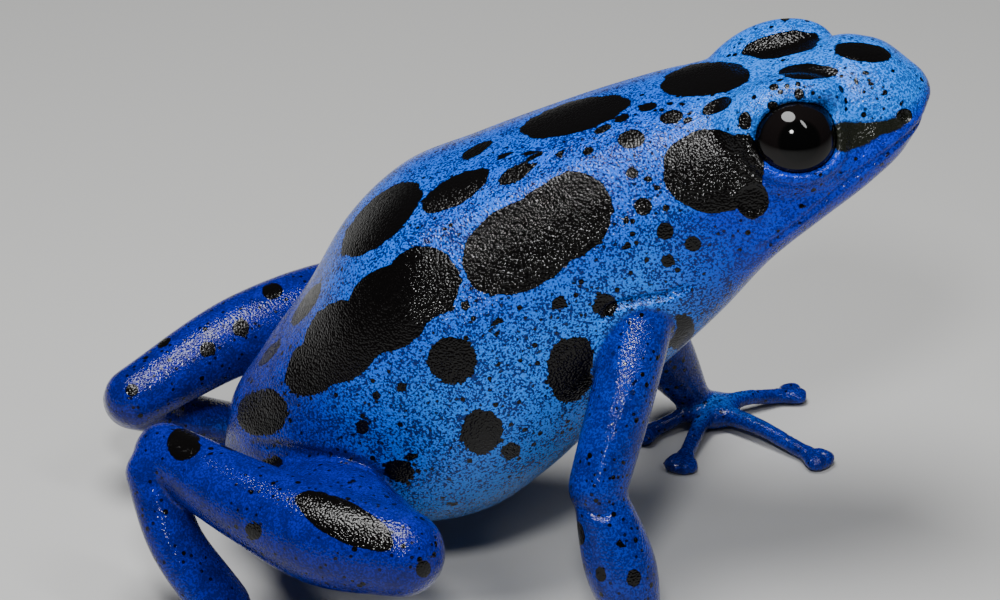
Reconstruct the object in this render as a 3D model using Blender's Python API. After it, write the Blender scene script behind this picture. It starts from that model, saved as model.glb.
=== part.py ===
"""Blue poison dart frog, sitting with its head raised: a still, life-size model in named solids.

Units are metres, +Z is up and the head points along +X, so the frog's right side faces -Y. The
origin is on the floor, under the middle of the whole frog. Sizes below are in millimetres and
are turned into metres where a mesh is made. The body is about 45 mm from snout to vent.
"""

from collections import namedtuple

import bmesh
import bpy
import numpy as np

MM = 0.001
NAME = "blue_poison_dart_frog"
GAP = 0.3  # between two pieces that meet

# The body is a loft along a straight spine line that rises from the vent to the snout.
VENT = np.array([-16.2, 0.0, 7.4])
PITCH = np.radians(28.3)
ALONG = np.array([np.cos(PITCH), 0.0, np.sin(PITCH)])
BACK = np.array([-np.sin(PITCH), 0.0, np.cos(PITCH)])
LEFT = np.array([0.0, 1.0, 0.0])
MIDDLE = np.array([0.2, 0.0, 0.0])  # the middle of the whole, which is moved to the origin
NECK = 29.6  # how far along the spine line the head starts

# One cross-section: how far along the line it lies, how high its top, its widest level and its
# underside are, its half width, and how square it is above and below (2 is an ellipse).
Section = namedtuple("Section", "along top level under half square_top square_under")
SECTIONS = (
    Section(0.0, -1.2, -2.4, -3.6, 1.1, 2.0, 2.0),  # vent
    Section(1.4, 0.8, -2.5, -5.4, 3.4, 2.1, 2.0),
    Section(4.5, 2.8, -2.5, -7.6, 5.9, 2.3, 2.0),  # hips
    Section(8.5, 4.8, -2.6, -9.6, 7.8, 2.5, 2.0),
    Section(12.5, 7.3, -2.6, -10.6, 8.6, 2.7, 2.0),  # hump of the back over the belly
    Section(16.5, 8.6, -2.3, -9.9, 8.7, 2.7, 2.0),
    Section(21.0, 8.4, -1.5, -8.4, 7.9, 2.7, 2.1),
    Section(25.5, 8.0, -0.9, -7.1, 7.1, 2.7, 2.1),  # shoulders
    Section(30.0, 7.4, -0.8, -5.4, 6.7, 2.7, 2.2),  # neck
    Section(34.0, 6.6, -0.8, -3.4, 6.6, 2.7, 2.3),  # eardrums
    Section(37.5, 5.7, -0.6, -2.6, 6.0, 2.6, 2.3),  # eyes
    Section(40.5, 5.0, -0.4, -2.2, 4.9, 2.6, 2.3),
    Section(42.8, 4.3, -0.1, -1.6, 3.9, 2.5, 2.2),
    Section(44.2, 3.0, 0.2, -0.8, 2.8, 2.3, 2.1),
    Section(44.9, 1.6, 0.4, -0.1, 1.5, 2.0, 2.0),  # snout
)
END_DOME = 0.35  # how far the snout's and the vent's last points stand out
DOME_STEPS = np.radians([30.0, 60.0])  # rings on the round end of a limb

# Eyes and brows, as distances along the spine line, out to the side and above the line.
EYE = (37.86, 4.4, 2.86)
EYE_RADIUS = 2.4
BROW = (37.3, 3.6, 3.95)
BROW_RADII = (4.0, 2.45, 2.3)
BROW_TIP = np.radians(4.0)  # how far the brow's long axis dips towards the snout

# Joints of the legs and arms. The near side is measured; the far arm and leg lie a little apart
# from the mirrored places. Each place is the middle of the limb.
Leg = namedtuple("Leg", "hip thigh_mid knee shank_a shank_b heel hock tarsus_mid ankle heading")
LEGS = {
    "right": Leg(
        (-11.5, -4.0, 6.0), (-8.6, -10.6, 7.7), (-5.3, -15.1, 8.3),
        (-9.3, -13.5, 8.4), (-13.3, -10.9, 8.9), (-18.5, -6.6, 9.7),
        (-19.1, -7.2, 8.9), (-18.0, -8.8, 5.7), (-15.2, -10.2, 1.9), -32,
    ),
    "left": Leg(
        (-11.5, 4.0, 6.0), (-8.6, 10.6, 8.0), (-4.8, 15.1, 8.7),
        (-9.6, 13.2, 8.7), (-14.6, 10.3, 8.6), (-21.2, 5.8, 6.6),
        (-21.5, 6.3, 6.0), (-19.8, 8.9, 4.1), (-15.8, 11.4, 1.9), 32,
    ),
}
Arm = namedtuple("Arm", "shoulder upper_mid elbow fore_mid wrist palm heading fingers")
ARMS = {
    "right": Arm(
        (7.7, -5.9, 17.5), (6.5, -8.9, 13.9), (5.3, -11.0, 10.0), (6.7, -12.1, 5.2),
        (7.8, -12.6, 1.3), (8.9, -12.8, 0.8), -19, ((-55, 6.4), (0, 8.8), (46, 6.8), (83, 4.8)),
    ),
    "left": Arm(
        (8.2, 6.0, 17.6), (7.8, 9.8, 14.0), (7.2, 13.0, 10.0), (9.3, 14.4, 5.7),
        (11.7, 15.3, 1.4), (12.7, 15.0, 0.8), -42, ((70, 6.5), (0, 9.1), (-66, 7.2), (-108, 5.6)),
    ),
}
# Half widths and half thicknesses at each place above.
THIGH = ((2.6, 3.3, 2.3), (2.5, 2.9, 2.3))
SHANK = ((2.4, 2.75, 2.35, 1.75), (2.4, 2.75, 2.35, 1.75))
TARSUS = ((1.7, 1.7, 1.9), (1.5, 1.35, 1.15))
TARSUS_UP = np.array([0.8, 0.55, 0.3])  # the direction its thickness is measured in
UPPER_ARM = ((1.65, 1.75, 1.6), (1.8, 1.75, 1.65))
FOREARM = ((1.4, 1.95, 1.15), (1.4, 1.95, 1.05))

# Hands and feet: a low palm, and digits that end in small discs. A digit is given by the angle
# between it and the longest one, in degrees, and by its length from the palm or ankle.
PALM_RADII = (1.75, 1.8, 0.95)
SOLE_RADII = (3.0, 1.9, 1.0)
SOLE_START = 1.6  # from the ankle to the sole's middle
SOLE_TURN = 11  # how far the sole points outwards of the longest toe, in degrees
SOLE_SINK = 0.1  # how far its underside dips below the floor before it is cut flat
TOES = ((-41, 6.0), (-27, 7.6), (-14, 10.0), (0, 12.6), (19, 9.2))
FINGER_ROOT = 0.3
TOE_ROOT = 1.4
TOE_SPREAD = 0.035  # how far apart the toes leave the sole, for each degree between them
TOE_CENTRE = -12  # the toe angle that leaves the sole's middle
DIGIT_RADII = (0.72, 0.5, 0.46)  # from the root to the disc, evenly spaced
DIGIT_ROOT_HEIGHT = 0.83
DIGIT_ARCH = 0.33  # how far a digit's middle rises
DISC_BACKS = (1.6, 1.0, 0.45, 0.1)  # rings of the disc, as distances back from its tip
DISC_WIDTHS = (0.78, 1.08, 1.0, 0.55)
DISC_DEPTHS = (0.45, 0.48, 0.45, 0.28)
DISC_HEIGHT = 0.38  # the disc's middle, so that the floor cuts its underside flat
DISC_LENGTH = 2.1  # from the tip back to where the digit is narrow again
FLOOR_SLAB = (90.0, 90.0, 4.0)

# How finely each kind of surface is divided.
BODY_SIDES = 22
TRUNK_RINGS = 21
HEAD_RINGS = 14
LIMB_SIDES = 12
LIMB_RINGS = 8
DIGIT_SIDES = 8
BALL_AROUND = 12
BALL_DOWN = 8

SKY_BLUE = (0.030, 0.190, 0.720)
DEEP_BLUE = (0.012, 0.055, 0.420)
EYE_BLACK = (0.004, 0.004, 0.005)


def clear_scene():
    """Removes the startup scene's objects."""
    for item in list(bpy.data.objects):
        bpy.data.objects.remove(item, do_unlink=True)


def make_collection(name, hidden=False):
    """A new collection in the scene; a hidden one is left out of renders."""
    found = bpy.data.collections.new(name)
    bpy.context.scene.collection.children.link(found)
    found.hide_render = hidden
    return found


def make_material(name, colour, roughness):
    """A plain Principled surface."""
    found = bpy.data.materials.new(name)
    found.use_nodes = True
    shader = found.node_tree.nodes["Principled BSDF"]
    shader.inputs["Base Color"].default_value = (*colour, 1.0)
    shader.inputs["Roughness"].default_value = roughness
    shader.inputs["Metallic"].default_value = 0.0
    return found


def smooth_curve(knots, values, places):
    """A cubic through values at knots, read at places; each slope comes from both neighbours."""
    knots = np.asarray(knots, float)
    values = np.asarray(values, float)
    slopes = np.gradient(values, knots, axis=0)
    index = np.clip(np.searchsorted(knots, places, side="right") - 1, 0, len(knots) - 2)
    step = knots[index + 1] - knots[index]
    part = ((places - knots[index]) / step)[:, None]
    step = step[:, None]
    start = (1 + 2 * part) * (1 - part) ** 2 * values[index]
    end = part**2 * (3 - 2 * part) * values[index + 1]
    lean = part * (1 - part) ** 2 * slopes[index] + part**2 * (part - 1) * slopes[index + 1]
    return start + end + lean * step


def on_body(along, out, above):
    """The point given along the spine line, out to the left and above the line."""
    offsets = zip((along, out, above), (ALONG, LEFT, BACK))
    return VENT + sum(np.multiply.outer(size, axis) for size, axis in offsets)


def mesh_object(name, rings, first, last, collection, material):
    """A closed surface over rings of points, with a fan to a point at each end."""
    count, sides, _ = rings.shape
    built = bmesh.new()
    places = (np.concatenate([rings.reshape(-1, 3), [first, last]]) - MIDDLE) * MM
    points = [built.verts.new(place) for place in places]
    ends = (count - 1) * sides
    for side in range(sides):
        after = (side + 1) % sides
        for ring in range(0, ends, sides):
            corners = (ring + side, ring + after, ring + sides + after, ring + sides + side)
            built.faces.new([points[corner] for corner in corners])
        built.faces.new((points[after], points[side], points[-2]))
        built.faces.new((points[ends + side], points[ends + after], points[-1]))
    return finish_object(name, built, collection, material)


def finish_object(name, built, collection, material):
    """Puts the built faces, split into flat triangles, into a smooth object of their own."""
    bmesh.ops.triangulate(built, faces=built.faces)
    built.normal_update()
    bmesh.ops.recalc_face_normals(built, faces=built.faces)
    mesh = bpy.data.meshes.new(name)
    built.to_mesh(mesh)
    built.free()
    mesh.shade_smooth()
    if material:
        mesh.materials.append(material)
    item = bpy.data.objects.new(name, mesh)
    collection.objects.link(item)
    if collection.hide_render:
        item.hide_render = True
        item.display_type = "WIRE"
    return item


def body_length(name, start, end, rings, collection, material):
    """The stretch of the body between two places on the spine line."""
    places = start + (end - start) * (1 - np.cos(np.pi * np.linspace(0, 1, rings))) / 2
    knots = [section.along for section in SECTIONS]
    shape = smooth_curve(knots, [section[1:] for section in SECTIONS], places)
    top, level, under, half, square_top, square_under = shape.T[:, :, None]
    turn = 2 * np.pi * np.arange(BODY_SIDES) / BODY_SIDES
    across, up = np.cos(turn)[None, :], np.sin(turn)[None, :]
    power = np.where(up >= 0, 2 / square_top, 2 / square_under)
    out = half * np.sign(across) * np.abs(across) ** power
    reach = np.where(up >= 0, top - level, level - under)
    above = level + reach * np.sign(up) * np.abs(up) ** power
    points = on_body(places[:, None] + 0 * out, out, above)
    ends = []
    for place, ring, outward in ((start, 0, -1), (end, -1, 1)):
        dome = END_DOME * outward if place in (knots[0], knots[-1]) else 0.0
        ends.append(on_body(place + dome, 0.0, level[ring, 0]))
    return mesh_object(name, points, *ends, collection, material)


def tube(name, middle, half, forward, upward, ends, sides, collection, material):
    """Oval rings across a path, with each end closed to a point."""
    side = np.cross(forward, upward)
    side /= np.linalg.norm(side, axis=1, keepdims=True)
    over = np.cross(side, forward)
    turn = 2 * np.pi * np.arange(sides) / sides
    across = half[:, :1] * np.cos(turn)
    up = half[:, 1:] * np.sin(turn)
    points = middle[:, None] + side[:, None] * across[..., None] + over[:, None] * up[..., None]
    return mesh_object(name, points, *ends, collection, material)


def limb(name, path, radii, upward, collection, material=None, grow=0.0):
    """An oval profile carried along a smooth path, with domed ends."""
    path = np.asarray(path, float)
    lengths = np.concatenate([[0.0], np.cumsum(np.linalg.norm(np.diff(path, axis=0), axis=1))])
    places = np.linspace(0, lengths[-1], LIMB_RINGS)
    middle = smooth_curve(lengths, path, places)
    half = smooth_curve(lengths, np.transpose(radii), places) + grow
    forward = np.gradient(middle, places, axis=0)
    forward /= np.linalg.norm(forward, axis=1, keepdims=True)
    rise, fall = np.sin(DOME_STEPS)[:, None], np.cos(DOME_STEPS)[:, None]
    reach = half.min(axis=1)
    start = middle[0] - forward[0] * reach[0] * rise[::-1]
    end = middle[-1] + forward[-1] * reach[-1] * rise
    ends = middle[0] - forward[0] * reach[0], middle[-1] + forward[-1] * reach[-1]
    middle = np.concatenate([start, middle, end])
    half = np.concatenate([half[0] * fall[::-1], half, half[-1] * fall])
    forward = np.concatenate([forward[[0] * len(rise)], forward, forward[[-1] * len(rise)]])
    return tube(name, middle, half, forward, upward, ends, LIMB_SIDES, collection, material)


def digit(name, root, tip, collection):
    """A finger or toe with its disc: it arches a little and lies on the floor at its tip."""
    start = np.array([root[0], root[1], DIGIT_ROOT_HEIGHT])
    end = np.array([tip[0], tip[1], DISC_HEIGHT])
    length = np.linalg.norm(end - start)
    backs = np.array(DISC_BACKS)
    places = np.concatenate([np.linspace(0, length - DISC_LENGTH, len(DIGIT_RADII)), length - backs])
    shares = np.array([0.0, 0.5 - DISC_LENGTH / length / 2, 1 - DISC_LENGTH / length, 1.0])
    path = start + (end - start) * shares[:, None]
    path[1:3, 2] += DIGIT_ARCH, DIGIT_ARCH / 4
    knots = np.concatenate([[0.0], np.cumsum(np.linalg.norm(np.diff(path, axis=0), axis=1))])
    middle = smooth_curve(knots * length / knots[-1], path, places)
    half = np.transpose([(*DIGIT_RADII, *DISC_WIDTHS), (*DIGIT_RADII, *DISC_DEPTHS)])
    forward = np.gradient(middle, places, axis=0)
    forward /= np.linalg.norm(forward, axis=1, keepdims=True)
    return tube(name, middle, half, forward, (0, 0, 1), (start, end), DIGIT_SIDES, collection, None)


def ball(name, centre, radii, axes, collection, material=None):
    """An ellipsoid from a sphere, stretched along its own three axes."""
    built = bmesh.new()
    bmesh.ops.create_uvsphere(built, u_segments=BALL_AROUND, v_segments=BALL_DOWN, radius=1.0)
    axes = np.asarray(axes, float)
    for vertex in built.verts:
        local = np.array(vertex.co) * radii
        vertex.co = (np.asarray(centre) + local @ axes - MIDDLE) * MM
    return finish_object(name, built, collection, material)


def combine(piece, other, operation, solver="EXACT"):
    """Adds or cuts away another shape."""
    step = piece.modifiers.new(f"{operation.lower()} {other.name}", "BOOLEAN")
    step.object = other
    step.operation = operation
    step.solver = solver


def flat_axes(degrees):
    """Axes of a shape that lies on the floor, turned to an angle from +X."""
    angle = np.radians(degrees)
    forward = np.array([np.cos(angle), np.sin(angle), 0.0])
    up = np.array([0.0, 0.0, 1.0])
    return np.array([forward, np.cross(up, forward), up])


def make_floor_cut(cutters):
    """The slab under the floor's level, which cuts the undersides of the hands and feet flat."""
    built = bmesh.new()
    bmesh.ops.create_cube(built, size=1.0)
    bmesh.ops.scale(built, vec=[size * MM for size in FLOOR_SLAB], verts=built.verts)
    bmesh.ops.translate(built, vec=(0.0, 0.0, -FLOOR_SLAB[2] * MM / 2), verts=built.verts)
    return finish_object("floor_cut", built, cutters, None)


def make_head(parts, cutters, skin, eye_skin):
    """The head, the two eyes and the sockets that they sit in."""
    head = body_length("head", NECK + GAP / 2, SECTIONS[-1].along, HEAD_RINGS, parts, skin)
    tip = np.cos(BROW_TIP), np.sin(BROW_TIP)
    brow_axes = (ALONG * tip[0] - BACK * tip[1], LEFT, BACK * tip[0] + ALONG * tip[1])
    for side, sign in (("right", -1), ("left", 1)):
        centre = on_body(BROW[0], sign * BROW[1], BROW[2])
        brow = ball(f"brow_{side}", centre, BROW_RADII, brow_axes, cutters)
        combine(head, brow, "UNION")
    for side, sign in (("right", -1), ("left", 1)):
        centre = on_body(EYE[0], sign * EYE[1], EYE[2])
        axes = (ALONG, BACK, -LEFT)
        ball(f"eye_{side}", centre, [EYE_RADIUS] * 3, axes, parts, eye_skin)
        socket = ball(f"socket_{side}", centre, [EYE_RADIUS + GAP] * 3, axes, cutters)
        combine(head, socket, "DIFFERENCE")


def make_foot(side, leg, parts, skin, cutters, floor):
    """The sole, its five toes and their discs, cut flat underneath."""
    sign = 1 if side == "left" else -1
    ankle = np.array(leg.ankle)
    axes = flat_axes(leg.heading - sign * SOLE_TURN)
    sole = ankle * (1, 1, 0) + axes[0] * SOLE_START + (0, 0, SOLE_RADII[2] - SOLE_SINK)
    foot = ball(f"foot_{side}", sole, SOLE_RADII, axes, parts, skin)
    for number, (spread, length) in enumerate(TOES, 1):
        axes = flat_axes(leg.heading + sign * spread)
        root = ankle + axes[0] * TOE_ROOT + axes[1] * sign * (spread - TOE_CENTRE) * TOE_SPREAD
        toe = digit(f"toe_{side}_{number}", root, ankle + axes[0] * length, cutters)
        combine(foot, toe, "UNION", "MANIFOLD")
    combine(foot, floor, "DIFFERENCE", "MANIFOLD")
    return foot


def make_hand(side, arm, parts, skin, cutters, floor):
    """The palm, its four fingers and their discs, cut flat underneath."""
    palm = np.array(arm.palm)
    hand = ball(f"hand_{side}", palm, PALM_RADII, flat_axes(arm.heading), parts, skin)
    for number, (spread, length) in enumerate(arm.fingers, 1):
        ahead = flat_axes(arm.heading + spread)[0]
        root, tip = palm + ahead * FINGER_ROOT, palm + ahead * length
        finger = digit(f"finger_{side}_{number}", root, tip, cutters)
        combine(hand, finger, "UNION", "MANIFOLD")
    combine(hand, floor, "DIFFERENCE", "MANIFOLD")
    return hand


def make_limb_pieces(side, parts, cutters, blue, deep, floor):
    """One arm and one leg, each cut back at its joints; gives the spaces around the pieces."""
    leg, arm = LEGS[side], ARMS[side]
    sign = 1 if side == "left" else -1
    routes = {
        "thigh": ((leg.hip, leg.thigh_mid, leg.knee), THIGH, (0, 0, 1), deep),
        "shank": ((leg.knee, leg.shank_a, leg.shank_b, leg.heel), SHANK, (0, 0, 1), deep),
        "tarsus": ((leg.hock, leg.tarsus_mid, leg.ankle), TARSUS, TARSUS_UP * (1, sign, 1), deep),
        "upper_arm": ((arm.shoulder, arm.upper_mid, arm.elbow), UPPER_ARM, (1, 0, 0), blue),
        "forearm": ((arm.elbow, arm.fore_mid, arm.wrist), FOREARM, (1, 0, 0), blue),
    }
    pieces, spaces = {}, {}
    for name, (path, radii, upward, skin) in routes.items():
        pieces[name] = limb(f"{name}_{side}", path, radii, upward, parts, skin)
        spaces[name] = limb(f"space_{name}_{side}", path, radii, upward, cutters, grow=GAP)
    pieces["foot"] = make_foot(side, leg, parts, deep, cutters, floor)
    pieces["hand"] = make_hand(side, arm, parts, blue, cutters, floor)
    for name, neighbour, solver in (
        ("thigh", "shank", "EXACT"),
        ("tarsus", "shank", "EXACT"),
        ("foot", "tarsus", "MANIFOLD"),
        ("forearm", "upper_arm", "EXACT"),
        ("hand", "forearm", "MANIFOLD"),
    ):
        combine(pieces[name], spaces[neighbour], "DIFFERENCE", solver)
    return spaces


def main():
    """Builds the whole frog."""
    clear_scene()
    parts = make_collection(NAME)
    cutters = make_collection("cutters", hidden=True)
    blue = make_material("sky_blue_skin", SKY_BLUE, 0.35)
    deep = make_material("deep_blue_skin", DEEP_BLUE, 0.3)
    black = make_material("eye_black", EYE_BLACK, 0.05)
    floor = make_floor_cut(cutters)
    make_head(parts, cutters, blue, black)
    trunk = body_length("trunk", SECTIONS[0].along, NECK - GAP / 2, TRUNK_RINGS, parts, blue)
    for side in ("right", "left"):
        spaces = make_limb_pieces(side, parts, cutters, blue, deep, floor)
        for name in ("thigh", "shank", "upper_arm"):
            combine(trunk, spaces[name], "DIFFERENCE")


if __name__ == "__main__":
    main()
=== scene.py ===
"""Looks of the blue poison dart frog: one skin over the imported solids, two eyes and a plain stage.

Shapes are worked out in millimetres, with +X towards the snout, +Y to the frog's left and +Z up,
and are turned into metres round the middle of the whole when a mesh is made. The skin starts as
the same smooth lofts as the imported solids, is grown into one surface, and then gets its lids,
mouth, nostrils, eardrums, folds and finger scutes as functions of place. Its markings are kept
as attributes on the mesh, so they stay on the surface, and the material reads them.
"""

import bpy
import numpy as np
from bpy.props import FloatProperty, FloatVectorProperty, IntProperty, PointerProperty
from collections import namedtuple
from mathutils import Matrix, Vector
from mathutils.bvhtree import BVHTree


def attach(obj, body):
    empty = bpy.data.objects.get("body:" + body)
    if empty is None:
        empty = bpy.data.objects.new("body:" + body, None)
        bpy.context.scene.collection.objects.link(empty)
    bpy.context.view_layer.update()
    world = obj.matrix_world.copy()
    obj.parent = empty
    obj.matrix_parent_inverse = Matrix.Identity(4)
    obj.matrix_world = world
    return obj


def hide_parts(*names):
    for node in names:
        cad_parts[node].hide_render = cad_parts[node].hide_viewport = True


bl_info = {
    "name": "Blue Poison Dart Frog",
    "version": (1, 0, 0),
    "blender": (4, 5, 0),
    "location": "3D View > Sidebar > Frog",
    "description": "Skin, eyes and stage for a life-size blue poison dart frog",
    "category": "Object",
}

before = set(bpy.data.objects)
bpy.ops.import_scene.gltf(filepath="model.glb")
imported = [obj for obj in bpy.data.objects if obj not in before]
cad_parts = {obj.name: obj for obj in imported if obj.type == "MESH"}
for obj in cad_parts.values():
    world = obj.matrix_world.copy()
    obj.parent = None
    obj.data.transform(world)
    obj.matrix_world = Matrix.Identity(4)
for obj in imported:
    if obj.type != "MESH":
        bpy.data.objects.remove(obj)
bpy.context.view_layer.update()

MM = 0.001
VENT = np.array([-16.2, 0.0, 7.4])
PITCH = np.radians(28.3)
ALONG = np.array([np.cos(PITCH), 0.0, np.sin(PITCH)])
LEFT = np.array([0.0, 1.0, 0.0])
BACK = np.array([-np.sin(PITCH), 0.0, np.cos(PITCH)])
BODY_AXES = np.array([ALONG, LEFT, BACK])
MIDDLE = np.array([0.2, 0.0, 0.0])

# One cross-section of the body: how far along the spine line it lies, the heights of its top,
# its widest level and its underside, its half width, and how square it is above and below.
Section = namedtuple("Section", "along top level under half square_top square_under")
SECTIONS = (
    Section(0.0, -1.2, -2.4, -3.6, 1.1, 2.0, 2.0),  # vent
    Section(1.4, 0.8, -2.5, -5.4, 3.4, 2.1, 2.0),
    Section(4.5, 2.8, -2.5, -7.6, 5.9, 2.3, 2.0),  # hips
    Section(8.5, 4.8, -2.6, -9.6, 7.8, 2.5, 2.0),
    Section(12.5, 7.3, -2.6, -10.6, 8.6, 2.7, 2.0),  # hump of the back over the belly
    Section(16.5, 8.6, -2.3, -9.9, 8.7, 2.7, 2.0),
    Section(21.0, 8.4, -1.5, -8.4, 7.9, 2.7, 2.1),
    Section(25.5, 8.0, -0.9, -7.1, 7.1, 2.7, 2.1),  # shoulders
    Section(30.0, 7.4, -0.8, -5.4, 6.7, 2.7, 2.2),  # neck
    Section(34.0, 6.6, -0.8, -3.4, 6.6, 2.7, 2.3),  # eardrums
    Section(37.5, 5.7, -0.6, -2.6, 6.0, 2.6, 2.3),  # eyes
    Section(40.5, 5.0, -0.4, -2.2, 4.9, 2.6, 2.3),
    Section(42.8, 4.3, -0.1, -1.6, 3.9, 2.5, 2.2),
    Section(44.2, 3.0, 0.2, -0.8, 2.8, 2.3, 2.1),
    Section(44.9, 1.6, 0.4, -0.1, 1.5, 2.0, 2.0),  # snout
)
END_DOME = 0.35

EYE = (37.86, 4.4, 2.86)  # along, out and above the spine line
EYE_RADIUS = 2.4
BROW = (37.3, 3.6, 3.95)
BROW_RADII = (4.0, 2.45, 2.3)
BROW_TIP = np.radians(4.0)
LID_WIDE = 66.0  # degrees from the eye's outward axis to the lids' edge, ahead and behind
LID_ABOVE = 58.0
LID_BELOW = 46.0
LID_CORNER = np.radians(48.0)  # where the upper lid's edge turns down in front
LID_SQUARE = 2.2  # how much squarer than an ellipse the edge is there
LID_LEAN = 0.15  # how far the skin sinks for each millimetre past the edge
LID_JOIN = (0.35, 1.25)  # how far past the edge the lid's own shape passes into the head's
BROW_SWELL = 1.5  # how far past the edge the brow is at its full height
LID_GROOVE = (0.7, 0.16)  # the groove under the lower lid: how far past the edge, and half width
LID_BAND = (0.2, 0.2)  # the raised band between that groove and the edge, in the same way

Leg = namedtuple("Leg", "hip thigh_mid knee shank_a shank_b heel hock tarsus_mid ankle heading")
LEGS = {
    "right": Leg(
        (-11.5, -4.0, 6.0), (-8.6, -10.6, 7.7), (-5.3, -15.1, 8.3),
        (-9.3, -13.5, 8.4), (-13.3, -10.9, 8.9), (-18.5, -6.6, 9.7),
        (-19.1, -7.2, 8.9), (-18.0, -8.8, 5.7), (-15.2, -10.2, 1.9), -32,
    ),
    "left": Leg(
        (-11.5, 4.0, 6.0), (-8.6, 10.6, 8.0), (-4.8, 15.1, 8.7),
        (-9.6, 13.2, 8.7), (-14.6, 10.3, 8.6), (-21.2, 5.8, 6.6),
        (-21.5, 6.3, 6.0), (-19.8, 8.9, 4.1), (-15.8, 11.4, 1.9), 32,
    ),
}
Arm = namedtuple("Arm", "shoulder upper_mid elbow fore_mid wrist palm heading fingers")
ARMS = {
    "right": Arm(
        (7.7, -5.9, 17.5), (6.5, -8.9, 13.9), (5.3, -11.0, 10.0), (6.7, -12.1, 5.2),
        (7.8, -12.6, 1.3), (8.9, -12.8, 0.8), -19, ((-55, 6.4), (0, 8.8), (46, 6.8), (83, 4.8)),
    ),
    "left": Arm(
        (8.2, 6.0, 17.6), (7.8, 9.8, 14.0), (7.2, 13.0, 10.0), (9.3, 14.4, 5.7),
        (11.7, 15.3, 1.4), (12.7, 15.0, 0.8), -42, ((70, 6.5), (0, 9.1), (-66, 7.2), (-108, 5.6)),
    ),
}
THIGH = ((2.6, 3.3, 2.3), (2.5, 2.9, 2.3))
SHANK = ((2.4, 2.75, 2.35, 1.75), (2.4, 2.75, 2.35, 1.75))
TARSUS = ((1.7, 1.7, 1.9), (1.5, 1.35, 1.15))
TARSUS_UP = np.array([0.8, 0.55, 0.3])
UPPER_ARM = ((1.65, 1.75, 1.6), (1.8, 1.75, 1.65))
FOREARM = ((1.4, 1.95, 1.15), (1.4, 1.95, 1.05))
PALM_RADII = (1.75, 1.8, 0.95)
SOLE_RADII = (3.0, 1.9, 1.0)
SOLE_START = 1.6
SOLE_TURN = 11
SOLE_SINK = 0.1
SOFT_STEPS = 8  # softening of the whole skin
JOINT_STEPS = 60  # softening where the limbs join and bend
TOES = ((-41, 6.0), (-27, 7.6), (-14, 10.0), (0, 12.6), (19, 9.2))
FINGER_ROOT = 0.3
TOE_ROOT = 1.4
TOE_SPREAD = 0.035
TOE_CENTRE = -12
DIGIT_RADII = (0.72, 0.5, 0.46)
DIGIT_ROOT_HEIGHT = 0.83
DIGIT_ARCH = 0.33
DISC_WIDTH = 1.06
DISC_DEPTH = 0.48
DISC_NOSE = 0.62  # the length of the disc's round front
DISC_HEIGHT = 0.38
DISC_LENGTH = 2.1

# The camera: how far it stands off, how high it looks down from, and how large a millimetre is.
CAMERA_RISE = np.radians(27.0)
CAMERA_FAR = 260.0
PIXELS_PER_MM = 17.9
PICTURE = (1000, 600)
LOOK_AT = np.array([0.0, 0.0, 15.86])
VIEW = np.array([0.0, np.cos(CAMERA_RISE), -np.sin(CAMERA_RISE)])
VIEW_UP = np.array([0.0, np.sin(CAMERA_RISE), np.cos(CAMERA_RISE)])
CAMERA_AT = LOOK_AT - VIEW * CAMERA_FAR
FOCAL = PIXELS_PER_MM * CAMERA_FAR
SENSOR = 36.0
FLOOR_HALF = 1500.0
LIGHTS_AIM = (0.0, 0.0, 12.0)

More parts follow.
